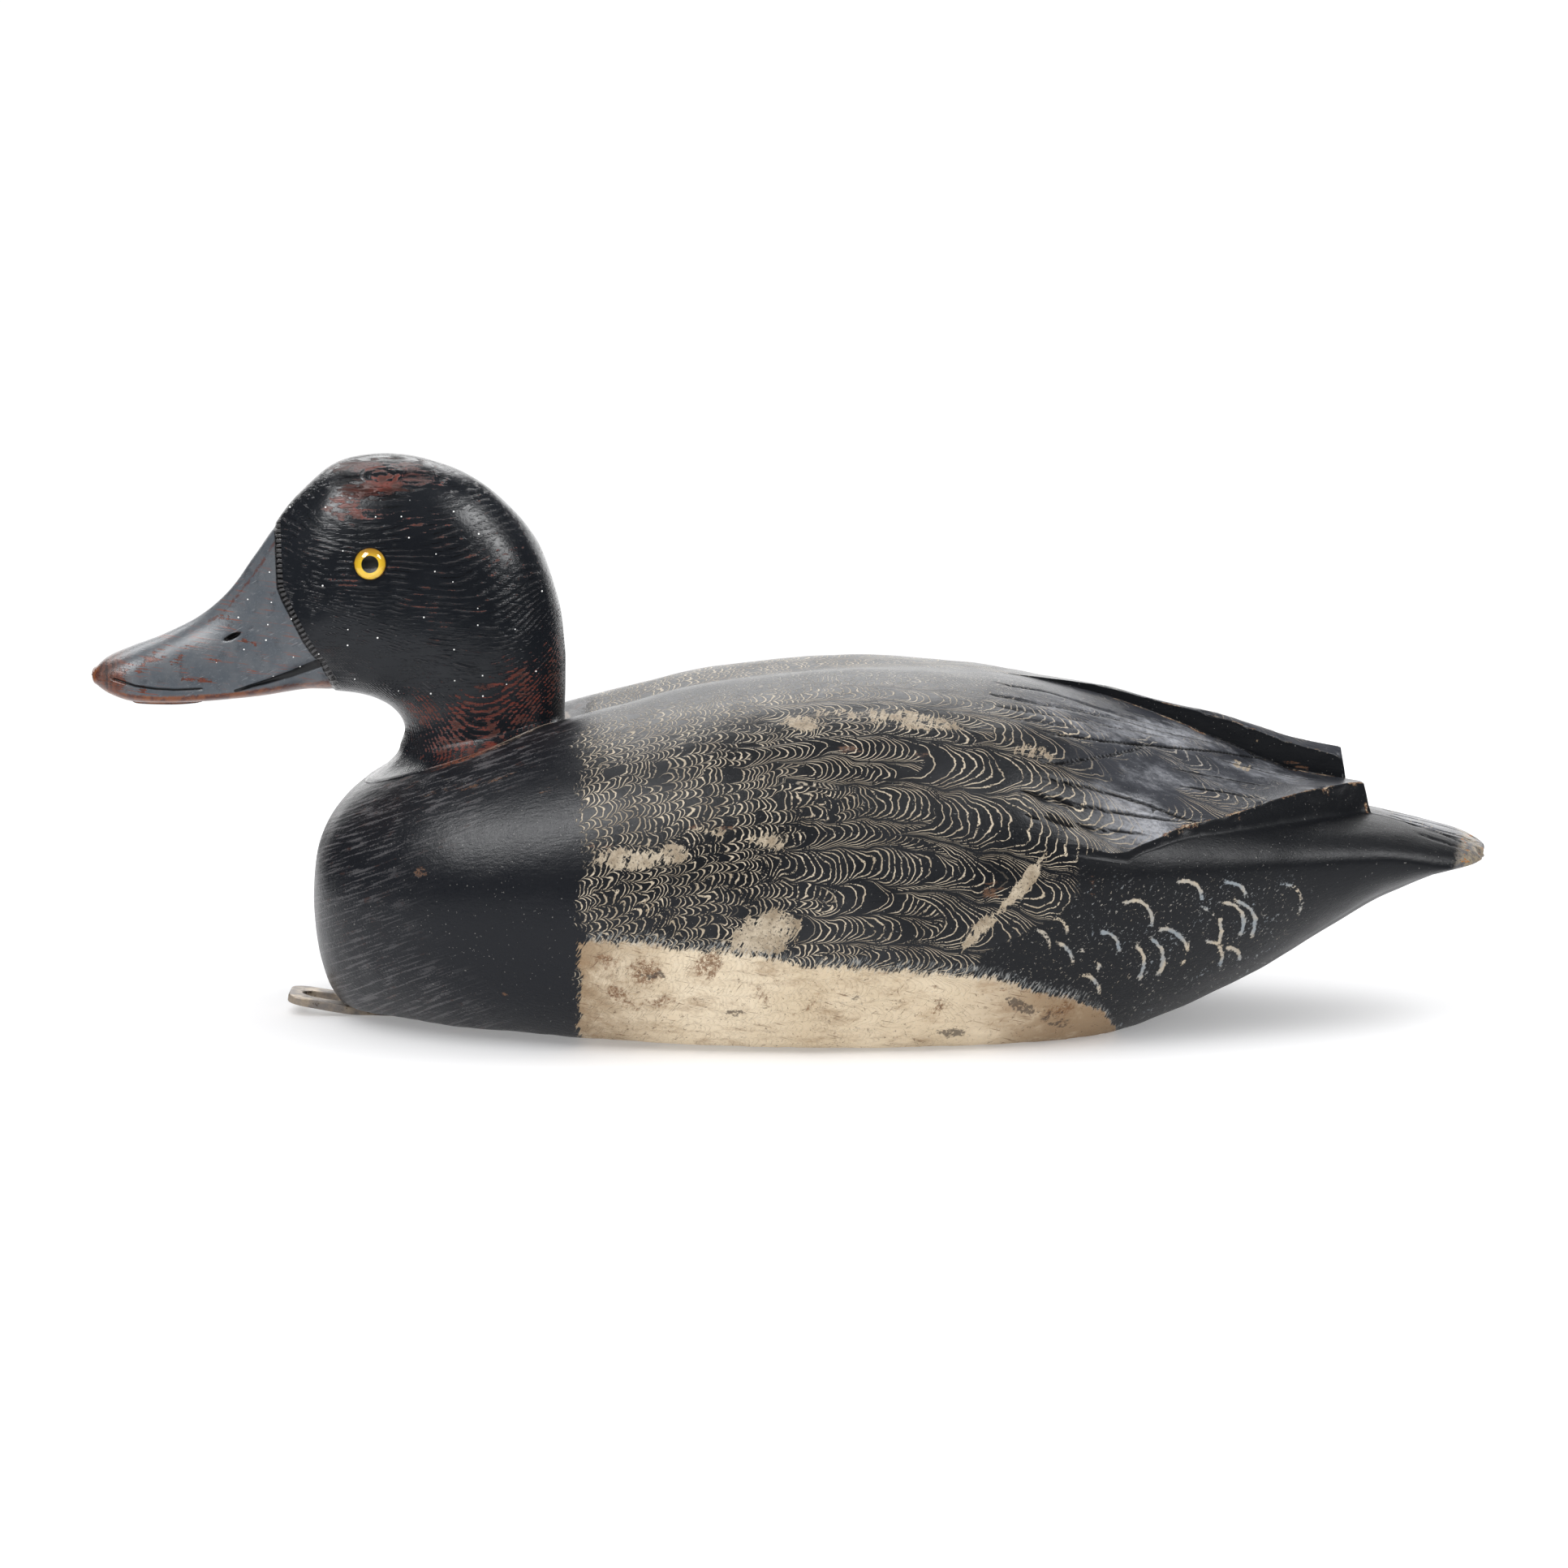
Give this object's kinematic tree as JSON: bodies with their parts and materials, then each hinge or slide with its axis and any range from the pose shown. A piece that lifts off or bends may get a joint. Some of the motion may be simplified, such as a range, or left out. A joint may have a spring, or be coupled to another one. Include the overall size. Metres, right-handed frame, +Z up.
{
  "type": "bluebill duck decoy",
  "caption": "Carved and painted wooden drake bluebill hunting decoy that floats or stands on its flat bottom, with glass eyes and a metal line tie.",
  "frame": {"origin": "on the surface the decoy stands on, at the middle of its overall length and width", "axes": "-X is where the bill points, +X the tail, +Y the bird's right side, +Z up"},
  "size_m": [0.368, 0.152, 0.1483],
  "materials": {
    "body_paint": "old satin oil paint on carved wood: black breast and tail, dark grey back combed with cream lines, cream side panels, worn through to brown wood on the edges",
    "head_paint": "satin blue-black paint with the wood's grain showing, slate-blue bill, rubbed to red-brown on the crown, neck and bill edges",
    "eye_glass": "clear polished dome over a yellow iris and a black pupil",
    "tie_metal": "brown-grey aged brass strap"
  },
  "bodies": {
    "root": {"body": "body_paint", "head": "head_paint", "left_eye": "eye_glass", "right_eye": "eye_glass", "line_tie": "tie_metal"}
  },
  "joints": []
}
